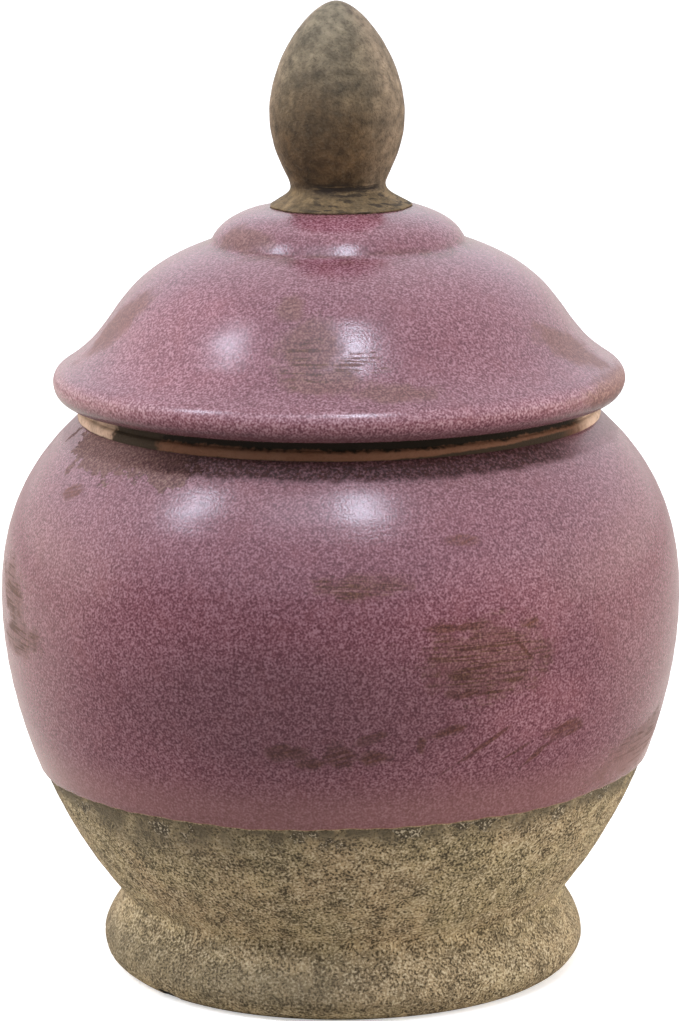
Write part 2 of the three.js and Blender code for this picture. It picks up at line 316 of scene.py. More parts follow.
def thrown(azimuth, height):
    """How far a hand-thrown wall stands out, in millimetres: a little out of round, with faint rings."""
    slow = np.sin(2 * azimuth + 0.7 + height / 90) + 0.6 * np.sin(3 * azimuth - 1.1 + height / 47)
    slow = slow + 0.35 * np.sin(5 * azimuth + 2.3 - height / 31)
    wander = 0.7 * np.sin(azimuth + 0.4)
    rings = np.sin(math.tau * height / RING_PITCH + wander) * (0.7 + 0.3 * np.sin(height / 13))
    return OUT_OF_ROUND * slow + RING_DEPTH * rings


def weathered(azimuth, radius, height):
    """How far bare clay stands out or is pitted, in millimetres, from soft lumps and open pits."""
    shift = np.zeros(radius.shape)
    places = np.stack([radius * np.sin(azimuth), -radius * np.cos(azimuth), height], -1)
    for spot in np.ndindex(radius.shape):
        place = Vector(places[spot])
        lump = noise.noise(place / LUMP_SIZE)
        pit = max(0.0, noise.noise(place / PIT_SIZE) - PIT_ONSET)
        shift[spot] = LUMP_HEIGHT * lump - PIT_DEPTH * pit
    return shift


def turn(name, points, shape=None, steps=ROUND_STEPS, closed=True):
    """Turns an outline about the axis into a piece. An open outline starts and ends on the axis."""
    rim = points if closed else points[1:-1]
    azimuth = np.tile(np.arange(steps) * math.tau / steps, (len(rim), 1))
    radius, height = (np.repeat(column[:, None], steps, 1) for column in rim.T)
    if shape:
        radius, height = shape(azimuth, radius, height)
    spots = np.stack([radius * np.sin(azimuth), -radius * np.cos(azimuth), height], -1).reshape(-1, 3)
    index = np.arange(len(spots)).reshape(radius.shape)
    lower, upper = (index, np.roll(index, -1, 0)) if closed else (index[:-1], index[1:])
    ring = np.stack([lower, np.roll(lower, -1, 1), np.roll(upper, -1, 1), upper], -1).reshape(-1, 4)
    faces = ring.tolist()
    if not closed:
        start, end = len(spots), len(spots) + 1
        spots = np.vstack([spots, (0, 0, points[0][1]), (0, 0, points[-1][1])])
        first, last = index[0], index[-1]
        faces += np.stack([np.full(steps, start), np.roll(first, -1), first], -1).tolist()
        faces += np.stack([last, np.roll(last, -1), np.full(steps, end)], -1).tolist()
    mesh = bpy.data.meshes.new(name)
    mesh.from_pydata((spots * MILLIMETRE).tolist(), [], faces)
    mesh.shade_smooth()
    piece = bpy.data.objects.new(name, mesh)
    scene.collection.objects.link(piece)
    return piece


def finish_piece(piece, material, body, node):
    """Gives a piece its material, hides the CAD node it stands for and hangs it on the body it rides on."""
    piece.data.materials.append(material)
    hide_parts(node)
    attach(piece, body)


def remap(tree, value, start, end, first, last):
    """A value carried evenly from one range to another, and held at its ends."""
    inputs = {"Value": value, "From Min": start, "From Max": end, "To Min": first, "To Max": last}
    return add(tree, "MapRange", inputs).outputs[0]


def brighten(tree, colour, factor):
    return add(tree, "VectorMath", {0: colour, "Scale": factor}, operation="SCALE").outputs[0]


def away(tree, value, middle):
    """How far a value is from a middle, on either side."""
    return compute(tree, "ABSOLUTE", compute(tree, "SUBTRACT", value, middle))


def larger(tree, one, other):
    return compute(tree, "MAXIMUM", one, other)


def band(tree, value, none, full, still_full, gone):
    """1 between full and still_full, fading to 0 on either side."""
    return times(tree, fade(tree, value, none, full), fade(tree, value, gone, still_full))


def emboss(tree, shader, height, strength, depth):
    """Gives a material a fine relief by a height, without moving its mesh."""
    bump = add(tree, "Bump", {"Strength": strength, "Distance": depth, "Height": height})
    tree.links.new(bump.outputs[0], shader.inputs["Normal"])


def new_group(name, inputs, outputs):
    """A shader node group, with the sockets of its input and output nodes."""
    group = bpy.data.node_groups.new(name, "ShaderNodeTree")
    for sockets, way in ((inputs, "INPUT"), (outputs, "OUTPUT")):
        for socket, kind in sockets.items():
            group.interface.new_socket(socket, in_out=way, socket_type="NodeSocket" + kind)
    return group, group.nodes.new("NodeGroupInput").outputs, group.nodes.new("NodeGroupOutput").inputs


# Place on a turned surface: degrees round from the camera's side, millimetres up and millimetres out.
place_sockets = dict.fromkeys(["Azimuth", "Height", "Radius"], "Float")
turned_place, given, made = new_group("turned place", {"Place": "Vector"}, place_sockets)
tree = turned_place
axes = add(tree, "SeparateXYZ", {0: given["Place"]}).outputs
towards_camera = times(tree, axes["Y"], -1)
around = compute(tree, "ARCTAN2", axes["X"], towards_camera)
tree.links.new(compute(tree, "DEGREES", around), made["Azimuth"])
tree.links.new(compute(tree, "DIVIDE", axes["Z"], MILLIMETRE), made["Height"])
squares = times_plus(tree, axes["X"], axes["X"], times(tree, axes["Y"], axes["Y"]))
outwards = compute(tree, "SQRT", squares)
tree.links.new(compute(tree, "DIVIDE", outwards, MILLIMETRE), made["Radius"])

# Bare clay: a mottled body, crowded in some places with open dark pits and in others with pale grog flecks.
clay_sockets = {"Place": "Vector", "Body": "Color", "Warm": "Color", "Pit": "Color", "Fleck": "Color",
                "Pitting": "Float", "Flecking": "Float"}
pitted_clay, given, made = new_group("pitted clay", clay_sockets, {"Color": "Color", "Height": "Float"})
tree = pitted_clay
place = given["Place"]
clouds = fade(tree, speckle(tree, place, CLOUD_SIZE, 3), 0.38, 0.64)
mottled = tint(tree, clouds, given["Body"], given["Warm"])
patches = speckle(tree, place, PATCH_SIZE, 3, 0.6)
shaded = brighten(tree, mottled, remap(tree, patches, 0.3, 0.7, 0.62, 1.3))
clusters = speckle(tree, place, CLUSTER_SIZE, 3, 0.6)
crowding = remap(tree, clusters, 0.3, 0.7, -0.08, 0.08)
grain = compute(tree, "ADD", speckle(tree, place, GRAIN_SIZE, 1.5, 0.6), crowding)
flecks = times(tree, fade(tree, grain, 0.51, 0.7), given["Flecking"])
flecked = tint(tree, flecks, shaded, given["Fleck"])
pits = times(tree, fade(tree, grain, 0.49, 0.31), given["Pitting"])
tree.links.new(tint(tree, pits, flecked, given["Pit"]), made["Color"])
tree.links.new(compute(tree, "SUBTRACT", grain, pits), made["Height"])


def place_group(tree, group, inputs):
    """Places a shader node group in a material and returns its outputs."""
    return add(tree, "Group", inputs, node_tree=group).outputs


foot_radius, _, foot_top = extent("foot_ring")
crease = (CREASE_RADIUS, foot_top + SLIP_GAP)
bowl_radius, plug_bottom, tongue_top = extent("lower_bowl")
SEAM_LAP = 4.0
belly_height = tongue_top - SEAM_LAP
bowl_face = curve(crease, (0.61, 0.27), (0, 0.34), (bowl_radius, belly_height))
bulge = (foot_radius, BULGE_HEIGHT)
feather_height = crease[1] + FEATHER
foot_outline = outline(
    (FOOT_BORE, 0),
    curve((TREAD_RADIUS, 0), (0.15, 0.14), (0, 0.69), bulge),
    curve(bulge, (0, 0.38), (0.23, 0.37), crease),
    (face_radius(bowl_face, feather_height) + FEATHER_EDGE, feather_height),
    (face_radius(bowl_face, feather_height) - FEATHER_DEPTH, feather_height),
    (FOOT_BORE + BORE_LEAD, foot_top),
    (FOOT_BORE, foot_top),
    wear=FOOT_WEAR, spacing=lambda point: CLAY_STEP if point[0] > TREAD_RADIUS - 3 else LONGEST_STEP)


def foot_shape(azimuth, radius, height):
    """The flared face is uneven and weathered, the tread stays flat, and a chip bites its outer edge."""
    outer = np.clip((radius - FOOT_BORE - BORE_LEAD) / 4, 0, 1) * np.clip(height / 2, 0, 1)
    from_chip = azimuth - math.radians(CHIP["azimuth"])
    share = np.degrees(np.arctan2(np.sin(from_chip), np.cos(from_chip))) / CHIP["half_width"]
    broken = np.clip(1.4 - np.abs(share) ** 3, 0, 1) * np.clip((radius - TREAD_RADIUS + 4) / 2, 0, 1)
    bite = CHIP["depth"] * broken * (height < CHIP["rise"] * broken)
    moved = thrown(azimuth, height) * outer + weathered(azimuth, radius, height) * outer
    return radius + moved - bite, height


foot = turn("foot_ring_clay", foot_outline, foot_shape)
bare_clay, tree, shader, place = new_material("bare_stoneware", Roughness=0.92)
spot = place_group(tree, turned_place, {"Place": place})
on_foot = fade(tree, spot["Height"], crease[1] + 1, crease[1] - 4)
clay = place_group(tree, pitted_clay, {
    "Place": place, "Body": tint(tree, on_foot, BARE_CLAY, FOOT_CLAY),
    "Warm": tint(tree, on_foot, CLAY_WARM, FOOT_WARM), "Pit": CLAY_PIT, "Fleck": CLAY_FLECK,
    "Pitting": times_plus(tree, on_foot, -0.08, 0.9),
    "Flecking": times_plus(tree, on_foot, -0.2, 0.8)})
strokes = add(tree, "CombineXYZ", {"X": spot["Azimuth"], "Y": times(tree, spot["Height"], 6)})
smudging = add(tree, "TexNoise", {"Vector": strokes.outputs[0], "Scale": 0.11, "Detail": 3}).outputs[0]
near_crease = away(tree, spot["Height"], crease[1] - 2)
smudge = times(tree, fade(tree, smudging, 0.5, 0.64), fade(tree, near_crease, 6, 1))
line_drop = add(tree, "Attribute", attribute_name="below_glaze_line").outputs["Fac"]
on_left = band(tree, spot["Azimuth"], *SOIL_SIDE)
soil_reach = times_plus(tree, on_left, 12, 8)
below_line = fade(tree, line_drop, 0, 0.01)
blotches = times_plus(tree, fade(tree, speckle(tree, place, 6, 4, 0.65), 0.4, 0.6), 0.6, 0.4)
under_line = times(tree, fade(tree, line_drop, soil_reach, 0.5), below_line, blotches)
scuff = band(tree, spot["Height"], *SCUFF_HEIGHTS)
scuff = times(tree, scuff, fade(tree, spot["Azimuth"], 8, -10), SCUFF_SHARE)
smudge = larger(tree, times(tree, smudge, SMUDGE_SHARE), scuff)
soiled = larger(tree, smudge, under_line)
side_tone = remap(tree, add(tree, "SeparateXYZ", {0: place}).outputs["X"], -0.07, 0.06, *SIDE_TONE)
height_tone = remap(tree, spot["Height"], 28, 58, *HEIGHT_TONE)
# Painted light: the bottom few millimetres of the foot are painted up to half again lighter, against the
# floor's shade.
painted_edge_light = times_plus(tree, fade(tree, spot["Height"], 4.5, 0.8), 0.5, 1)
toned_with_painted_light = brighten(tree, clay["Color"], times(tree, side_tone, height_tone, painted_edge_light))
clay_colour = tint(tree, soiled, toned_with_painted_light, CLAY_SMUDGE)
crusted = band(tree, line_drop, 0, 0.6, 4, 9)
crusted = times(tree, crusted, fade(tree, speckle(tree, place, 8, 3, 0.6), 0.55, 0.61), CRUST_SHARE)
crust = tint(tree, fade(tree, speckle(tree, place, 0.7, 1), 0.55, 0.63), CRUST_DARK, CRUST_PALE)
clay_colour = tint(tree, crusted, clay_colour, crust)
# Painted shadow: the chip's face is painted near black.
from_chip = away(tree, spot["Azimuth"], CHIP["azimuth"])
at_edge = fade(tree, spot["Radius"], TREAD_RADIUS - 4, TREAD_RADIUS - 2)
chip_shadow = times(tree, fade(tree, from_chip, 3.4, 2.6), fade(tree, spot["Height"], 2.9, 2.1), at_edge)
tree.links.new(tint(tree, chip_shadow, clay_colour, CHIP_PAINTED_SHADOW), shader.inputs["Base Color"])
emboss(tree, shader, clay["Height"], *CLAY_RELIEF)
finish_piece(foot, bare_clay, "jar", "foot_ring")


# Lower bowl: the lower half of the belly with the jar's floor, thrown in the same stoneware. Its base plug is
# luted into the foot ring, and its stepped rim laps the shoulder. It is bare below the dipping line.
JAR_WALL = 7.0
FLOOR_THICKNESS = 10.0
FLOOR_FILLET = (16.0, 8.0)
BOWL_WEAR = 0.8
HIDDEN_STEP = 3.5
GLAZE_LINE = 65.7
LINE_TILT = 1.35  # the jar was dipped a little crooked
LINE_WAVE = 0.45


def inset(face, depth):
    """A face moved inwards by a wall's thickness; the face is listed upwards."""
    along = np.gradient(face, axis=0)
    along /= np.hypot(*along.T)[:, None]
    return face + depth * np.stack([-along[:, 1], along[:, 0]], 1)


def glaze_line(azimuth):
    """Height of the dipping line, crooked and a little wavy."""
    wave = np.sin(7 * azimuth + 0.4) + 0.7 * np.sin(13 * azimuth + 2.0) + 0.5 * np.sin(29 * azimuth + 1.0)
    return GLAZE_LINE + LINE_TILT * np.sin(azimuth) + LINE_WAVE * wave / 2 + 0.12 * np.sin(71 * azimuth)


_, _, neck_base = extent("shoulder")
neck_radius, neck_bottom, neck_top = extent("neck_collar")
NECK_BEAD = 1.4
neck_wall_radius = neck_radius - NECK_BEAD
shoulder_face = curve((bowl_radius, belly_height), (0, 0.45), (0.65, 0.25), (neck_wall_radius, neck_base))
jar_face = np.vstack([bowl_face, shoulder_face[1:]])
jar_inside = inset(jar_face, JAR_WALL)
floor_top = plug_bottom + FLOOR_THICKNESS
wall_foot_height = floor_top + FLOOR_FILLET[1]
seam_radius = bowl_radius - JAR_WALL / 2
bowl_inside = jar_inside[(jar_inside[:, 1] > wall_foot_height) & (jar_inside[:, 1] < tongue_top)][::-1]
wall_foot = (face_radius(jar_inside[:CURVE_SAMPLES], wall_foot_height), wall_foot_height)


def bowl_spacing(point):
    """Fine on the bare band, where pits show, and coarse under the glaze and inside."""
    bare = point[1] < GLAZE_LINE + 3 and point[0] > face_radius(bowl_face, point[1]) - 2
    return CLAY_STEP if bare else HIDDEN_STEP


bowl_outline = outline(
    (0, plug_bottom),
    (FOOT_BORE - SLIP_GAP, plug_bottom),
    (FOOT_BORE - SLIP_GAP, crease[1]),
    bowl_face,
    (seam_radius - SLIP_GAP / 2, belly_height),
    (seam_radius - SLIP_GAP / 2, tongue_top),
    bowl_inside,
    curve(wall_foot, (0.3, 0.8), (0.5, 0), (wall_foot[0] - FLOOR_FILLET[0], floor_top)),
    (0, floor_top),
    wear=BOWL_WEAR, closed=False, spacing=bowl_spacing)


def bowl_shape(azimuth, radius, height):
    """The bare band is uneven and weathered; elsewhere only the thrown unevenness is left."""
    bare = np.clip((glaze_line(azimuth) + 2 - height) / 2, 0, 1) * (radius > CREASE_RADIUS - 1)
    outer = np.clip(radius / 40 - 0.6, 0, 1)
    pitted = np.where(bare > 0, weathered(azimuth, radius, height), 0) * bare
    return radius + thrown(azimuth, height) * outer + pitted, height


def mark_line(piece, name, way):
    """Marks a piece's points with their height above the dipping line, or below it for a way of -1."""
    spots = np.array([vertex.co for vertex in piece.data.vertices]) / MILLIMETRE
    rise = spots[:, 2] - glaze_line(np.arctan2(spots[:, 0], -spots[:, 1]))
    piece.data.attributes.new(name, "FLOAT", "POINT").data.foreach_set("value", way * rise)


bowl = turn("lower_bowl_clay", bowl_outline, bowl_shape)
mark_line(bowl, "below_glaze_line", -1)
finish_piece(bowl, bare_clay, "jar", "lower_bowl")


# Shoulder: the upper half of the belly, thrown upside down as a second bowl and luted to the first at the
# widest place. The glaze covers it outside; inside, the bare stoneware shows the potter's throwing rings.
SHOULDER_WEAR = 0.5
seam_step = seam_radius + SLIP_GAP / 2
above_seam = (jar_inside[:, 1] > tongue_top + SLIP_GAP) & (jar_inside[:, 1] < neck_base)
shoulder_inside = jar_inside[above_seam][::-1]
NECK_WALL = 6.2
mouth_radius = neck_wall_radius - NECK_WALL
shoulder_outline = outline(
    (seam_step, belly_height + SLIP_GAP),
    shoulder_face[shoulder_face[:, 1] > belly_height + SLIP_GAP],
    (mouth_radius, neck_base),
    shoulder_inside,
    (seam_step, tongue_top + SLIP_GAP),
    wear=SHOULDER_WEAR)


def thrown_shape(azimuth, radius, height):
    return radius + thrown(azimuth, height), height


shoulder = turn("shoulder_clay", shoulder_outline, thrown_shape)
finish_piece(shoulder, bare_clay, "jar", "shoulder")


# Neck collar: a short ring of finer, redder clay with a bead at its base, luted to the shoulder. The glaze is
# wiped off it so that the lid can't stick in the kiln, and years of dirt have gathered under the lid. Its
# front is also painted darker there, as the lid's shade.
NECK_WEAR = 0.35
NECK_LIP = 1.2
NECK_STEP = 0.8
DIRT_LAP = 1.8  # how far dirt laps up over the bead on the right
STAIN_AND_SHADE_FRONT, DIRT_CHUNK = (-58.5, -54.5, 60, 72), (-58, -55.5, -43, -39.5)  # degrees round
FINE_RELIEF = (0.5, 0.0003)
NECK_CLAY = (0.39, 0.27, 0.2, 1)
NECK_PALE = (0.52, 0.375, 0.29, 1)
NECK_PIT = (0.12, 0.07, 0.045, 1)
NECK_STAIN_AND_SHADE = (0.115, 0.044, 0.022, 1)
NECK_CRUST = (0.034, 0.022, 0.013, 1)
NECK_GRIME_AND_SHADE = (0.012, 0.008, 0.004, 1)


def arc(centre, radius, start, end):
    """A round stretch of an outline, by degrees."""
    angles = np.radians(np.linspace(start, end, CURVE_SAMPLES))
    return np.stack([centre[0] + radius * np.cos(angles), centre[1] + radius * np.sin(angles)], 1)


neck_outline = outline(
    (mouth_radius, neck_bottom),
    (neck_wall_radius, neck_bottom),
    (neck_radius - 0.1, neck_bottom - SLIP_GAP),
    arc((neck_wall_radius, neck_bottom + NECK_BEAD), NECK_BEAD, -15, 90),
    arc((neck_wall_radius - NECK_LIP, neck_top - NECK_LIP), NECK_LIP, 0, 90),
    (mouth_radius, neck_top),
    wear=NECK_WEAR, spacing=NECK_STEP)
neck = turn("neck_collar_clay", neck_outline, thrown_shape)
neck_clay, tree, shader, place = new_material("orange_stoneware", Roughness=0.8, Specular_IOR_Level=0.25)
clay = place_group(tree, pitted_clay, {
    "Place": place, "Body": NECK_CLAY, "Warm": NECK_PALE, "Pit": NECK_PIT, "Fleck": NECK_PALE,
    "Pitting": 0.35, "Flecking": 0.4})
spot = place_group(tree, turned_place, {"Place": place})
ragged = times_plus(tree, speckle(tree, place, 9, 4), 2.6, -1.3)
crumbs = times_plus(tree, speckle(tree, place, 1.5, 2), 2, -1)
ragged = compute(tree, "ADD", ragged, crumbs)
high_up = fade(tree, compute(tree, "ADD", spot["Height"], ragged), neck_bottom + 2.3, neck_bottom + 3.3)
off_left = times_plus(tree, ragged, 2.4, spot["Azimuth"])
outside = fade(tree, spot["Radius"], neck_wall_radius - 1.6, neck_wall_radius - 0.4)
in_front = band(tree, off_left, *STAIN_AND_SHADE_FRONT)
in_front = times(tree, in_front, times_plus(tree, outside, 0.75, 0.25))
chunk = times(tree, band(tree, off_left, *DIRT_CHUNK), outside)
# In front the neck is darkened partly by stain and partly by painted shade from the lid; its upper wall goes
# near black, partly grime and partly painted shade.
stained_and_shaded = tint(tree, times(tree, in_front, 0.92), clay["Color"], NECK_STAIN_AND_SHADE)
scattered = times(tree, fade(tree, speckle(tree, place, 14, 4), 0.5, 0.76), 0.6)
upper = times(tree, high_up, larger(tree, in_front, scattered), outside)
grimy_and_shaded = tint(tree, upper, stained_and_shaded, NECK_GRIME_AND_SHADE)
lap = remap(tree, spot["Azimuth"], 8, 48, 0, DIRT_LAP)
above_lap = compute(tree, "SUBTRACT", times_plus(tree, ragged, 0.3, spot["Height"]), lap)
lapped = fade(tree, above_lap, neck_bottom + 0.3, neck_bottom - 0.3)
lapped = times(tree, lapped, fade(tree, off_left, 66, 54), outside)
crusted = larger(tree, chunk, lapped)
tree.links.new(tint(tree, crusted, grimy_and_shaded, NECK_CRUST), shader.inputs["Base Color"])
emboss(tree, shader, clay["Height"], *FINE_RELIEF)
finish_piece(neck, neck_clay, "jar", "neck_collar")


# Jar glaze: a satin plum stoneware glaze, fused to the belly. The jar is dipped mouth down to a line above
# the foot. Pale crystals speckle it, it breaks tan along its edge, and handling has left brown rubs on it.
GLAZE_BED = 0.2
GLAZE_FACE = 0.9
GLAZE_WEAR = 0.45
COAT_STEP, COAT_BACK_STEP = 1.6, 5.0
NECK_BARE = 0.2
LINE_FADE = 18.0  # height over which the crooked line dies out upwards
GLAZE_DEEP = (0.09, 0.024, 0.034, 1)
GLAZE_PLUM = (0.16, 0.058, 0.076, 1)
GLAZE_CRYSTAL = (0.262, 0.128, 0.154, 1)
GLAZE_RED = (0.185, 0.06, 0.068, 1)
GLAZE_LOW = (0.254, 0.125, 0.115, 1)
GLAZE_TAN = (0.36, 0.22, 0.12, 1)
PAINTED_LIGHT_CLOUD = (1.25, 1.28, 1.25, 1)  # times the glaze colour, where light is painted on
PAINTED_SHADE_CLOUD = (0.83, 0.83, 0.83, 1)  # and where shade is painted on
CRYSTAL_SIZE, MELT_SIZE = 0.68, 0.63
GLAZE_RELIEF = (0.2, 0.0002)
SCRATCH_SHARE, PAINTED_LIGHT_SHARE, LOW_SHARE, TAN_SHARE = 0.92, 0.7, 0.45, 0.85
SOOT_AND_SHADE_FRONT = (-56, -27, 46, 66)  # degrees round
RUBBED_FILM = (0.68, 0.69, 0.39, 1)  # what is left of the glaze colour under a rubbed film
RUBBED_BROWN = (0.5, 0.43, 0.23, 1)  # in its scratches
SMEARED_BROWN = (0.53, 0.375, 0.21, 1)  # and under smears
GRIME_FILM = (0.74, 0.88, 0.62, 1)
GRIME_EDGE = (0.03, 0.014, 0.009, 1)
NECK_SOOT_AND_SHADE = (0.13, 0.035, 0.01, 1)

# Plum glaze: its grain of crystals on a dark ground, with redder clouds.
plum_grain, given, made = new_group("plum grain", {"Place": "Vector"}, {"Color": "Color", "Height": "Float"})
tree = plum_grain
place = given["Place"]
melt = speckle(tree, place, MELT_SIZE, 0.3)
cells = add(tree, "TexVoronoi", {"Vector": place, "Scale": 1000 / CRYSTAL_SIZE})
cell_tone = add(tree, "SeparateColor", {0: cells.outputs["Color"]}).outputs[0]
crystals = times_plus(tree, compute(tree, "SUBTRACT", cell_tone, 0.5), 0.24, melt)
ramp = add(tree, "ValToRGB", {"Fac": crystals})
stops = ramp.color_ramp.elements
stops[0].position, stops[0].color = 0.26, GLAZE_DEEP
stops[1].position, stops[1].color = 0.75, GLAZE_CRYSTAL
stops.new(0.5).color = GLAZE_PLUM
red_clouds = fade(tree, speckle(tree, place, 9, 3, 0.6), 0.5, 0.72)
reddened = tint(tree, times(tree, red_clouds, 0.2), ramp.outputs[0], GLAZE_RED)
broad = remap(tree, speckle(tree, place, 40), 0.3, 0.7, 0.96, 1.04)
tree.links.new(brighten(tree, reddened, broad), made["Color"])
peel = times(tree, speckle(tree, place, 3.5), 0.6)
tree.links.new(compute(tree, "ADD", melt, peel), made["Height"])

# A worn patch: 1 in the middle of an oval, 0 outside its ragged edge.
patch_sockets = dict.fromkeys(["Azimuth", "Height", "Raggedness", "Middle Azimuth", "Middle Height",
                               "Half Width", "Half Height", "Lean"], "Float")
worn_patch, given, made = new_group("worn patch", patch_sockets, {"Mask": "Float"})
tree = worn_patch
rise = compute(tree, "SUBTRACT", given["Height"], given["Middle Height"])
off_middle = compute(tree, "SUBTRACT", given["Azimuth"], given["Middle Azimuth"])
off_middle = compute(tree, "SUBTRACT", off_middle, times(tree, rise, given["Lean"]))
across = compute(tree, "DIVIDE", off_middle, given["Half Width"])
upwards = compute(tree, "DIVIDE", rise, given["Half Height"])
squares = times_plus(tree, across, across, times(tree, upwards, upwards))
distance = compute(tree, "ADD", compute(tree, "SQRT", squares), given["Raggedness"])
tree.links.new(fade(tree, distance, 1.15, 0.55), made["Mask"])


def worn(tree, spot, raggedness, patches):
    """The wear of patches. Each has a middle azimuth and height, half width and height, and lean per mm."""
    total = 0.0
    for patch in patches:
        inputs = dict(enumerate([spot["Azimuth"], spot["Height"], raggedness, *patch]))
        total = larger(tree, total, place_group(tree, worn_patch, inputs)["Mask"])
    return total


def brush_strokes(tree, spot, lean, thickness, length):
    """Fine near-level strokes, as a cloth or a shelf leaves them: 0 to 1 around 0.5."""
    leaning = times_plus(tree, spot["Azimuth"], lean, spot["Height"])
    along = compute(tree, "DIVIDE", spot["Azimuth"], length)
    across = compute(tree, "DIVIDE", leaning, thickness)
    stretched = add(tree, "CombineXYZ", {"X": along, "Y": across}).outputs[0]
    inputs = {"Vector": stretched, "Scale": 1, "Detail": 3, "Roughness": 0.6, "Distortion": 0.3}
    return add(tree, "TexNoise", inputs).outputs[0]


def plum_glaze(name, rubbed_patches, rub_share, scratched_patches, smears, film_patches):
    """A glaze material with its rubbed, smeared and grimy places. Returns what later layers need as well."""
    material, tree, shader, place = new_material(name, IOR=1.5)
    grain = place_group(tree, plum_grain, {"Place": place})
    spot = place_group(tree, turned_place, {"Place": place})
    raggedness = times_plus(tree, speckle(tree, place, 6, 4, 0.65), 2.2, -1.1)
    broken = fade(tree, brush_strokes(tree, spot, 0.04, 2.6, 7), 0.34, 0.48)
    scratches = times(tree, fade(tree, brush_strokes(tree, spot, 0.02, 0.95, 11), 0.45, 0.56), broken)
    filmed = times(tree, worn(tree, spot, times(tree, raggedness, 0.65), rubbed_patches), rub_share)
    scratched = times(tree, worn(tree, spot, raggedness, scratched_patches), scratches, SCRATCH_SHARE)
    slanting = brush_strokes(tree, spot, -0.5, 0.9, 7)
    streaky = times_plus(tree, fade(tree, slanting, 0.36, 0.6), 0.5, 0.45)
    smeared = times(tree, worn(tree, spot, times(tree, raggedness, 0.9), smears), streaky)
    rubbed = larger(tree, scratched, smeared)
    colour = tint(tree, filmed, grain["Color"], RUBBED_FILM, "MULTIPLY")
    colour = tint(tree, scratched, colour, RUBBED_BROWN, "MULTIPLY")
    colour = tint(tree, smeared, colour, SMEARED_BROWN, "MULTIPLY")
    film = worn(tree, spot, times(tree, raggedness, 1.3), film_patches)
    inside = fade(tree, film, 0.28, 0.36)
    edge = times(tree, inside, fade(tree, film, 0.5, 0.38))
    colour = tint(tree, inside, colour, GRIME_FILM, "MULTIPLY")
    colour = tint(tree, times(tree, edge, 0.5), colour, GRIME_EDGE)
    dulled = times(tree, larger(tree, rubbed, filmed), 0.75)
    dulled = larger(tree, dulled, inside)
    rough = times_plus(tree, dulled, 0.4, 0.21)
    tree.links.new(times_plus(tree, grain["Height"], 0.05, rough), shader.inputs["Roughness"])
    emboss(tree, shader, grain["Height"], *GLAZE_RELIEF)
    return material, tree, shader, place, spot, raggedness, colour


def coat(face):
    """Outline of a glaze coat of even thickness on a face that is listed upwards."""
    return np.vstack([inset(face, -GLAZE_FACE), inset(face, -GLAZE_BED)[::-1]])


def hidden_coat(face):
    """Spacing that is fine on a coat's outside and coarse on its inside, which can't be seen."""
    middle = inset(face, -(GLAZE_FACE + GLAZE_BED) / 2)
    outwards = inset(face, -GLAZE_FACE) - middle

    def spacing(point):
        nearest = np.argmin(np.hypot(*(middle - point).T))
        return COAT_STEP if (point - middle[nearest]) @ outwards[nearest] > 0 else COAT_BACK_STEP
    return spacing


glazed_face = jar_face[(jar_face[:, 1] > GLAZE_LINE) & (jar_face[:, 1] < neck_base - NECK_BARE)]
jar_coat_outline = outline(coat(glazed_face), wear=GLAZE_WEAR, spacing=hidden_coat(glazed_face))


def jar_coat_shape(azimuth, radius, height):
    """The coat follows the clay under it, and its lower edge follows the crooked dipping line."""
    share = np.clip(1 - (height - GLAZE_LINE) / LINE_FADE, 0, 1) ** 2
    moved = height + (glaze_line(azimuth) - GLAZE_LINE) * share
    slide = face_radius(jar_face, moved) - face_radius(jar_face, height)
    return radius + slide + thrown(azimuth, moved), moved


jar_coat = turn("jar_glaze_coat", jar_coat_outline, jar_coat_shape)
mark_line(jar_coat, "above_glaze_line", 1)
JAR_RUBBED = [
    (24, 117, 12, 12.5, 0), (3, 140, 8, 4, 0.5), (-68, 111, 9, 7, 0.5), (-72, 124, 7, 9, -0.3),
    (66, 77, 14, 9, 0.6), (128, 108, 14, 12, 0), (-152, 140, 11, 5, 0.3)]
JAR_SMEARS = [
    (17.5, 96.4, 3, 2.2, 0.9), (39.5, 91.5, 4.2, 3, 0.5), (22.4, 89.7, 0.9, 6.5, 0.9),
    (33.8, 85.5, 0.9, 4, 0.7), (-8.9, 91, 3.6, 3, 0), (-5.2, 87.6, 3.4, 2.2, 0), (-0.3, 90.4, 3.1, 4.6, 0),
    (4.4, 95.4, 2.6, 2.6, 0.8), (5.2, 89.6, 2.8, 2.6, 0), (12.8, 92.4, 1, 3.6, 0), (21.5, 151, 3.4, 1.9, 0),
    (18, 127.2, 5.5, 1.3, 0), (32, 126, 2.4, 1.8, -0.6), (20, 107.4, 5, 1.6, 0), (30.2, 119, 0.5, 5, -0.5),
    (36.6, 88.5, 0.6, 4.4, 0.9), (29.5, 87.5, 0.6, 3.2, 1.2), (-58.5, 158, 3.2, 2.6, 0.8),
    (-128, 95, 8, 4, 0.6), (172, 132, 4, 6, 0), (-100, 84, 5, 2.5, 1), (96, 146, 3, 2, 0)]
JAR_PAINTED_LIGHT = [(25, 130, 16, 18, 0), (33, 101, 13, 12, 0)]
JAR_PAINTED_SHADE = [(-9, 103, 36, 20, 0)]
JAR_FILM = [(-53, 171.5, 20, 7.8, 0), (-36, 168.5, 7, 5, 0), (-60, 165.2, 3.4, 2.2, 0)]
plum_jar, tree, shader, place, spot, raggedness, colour = plum_glaze(
    "plum_glaze_jar", JAR_RUBBED, 0.5, JAR_RUBBED, JAR_SMEARS, JAR_FILM)
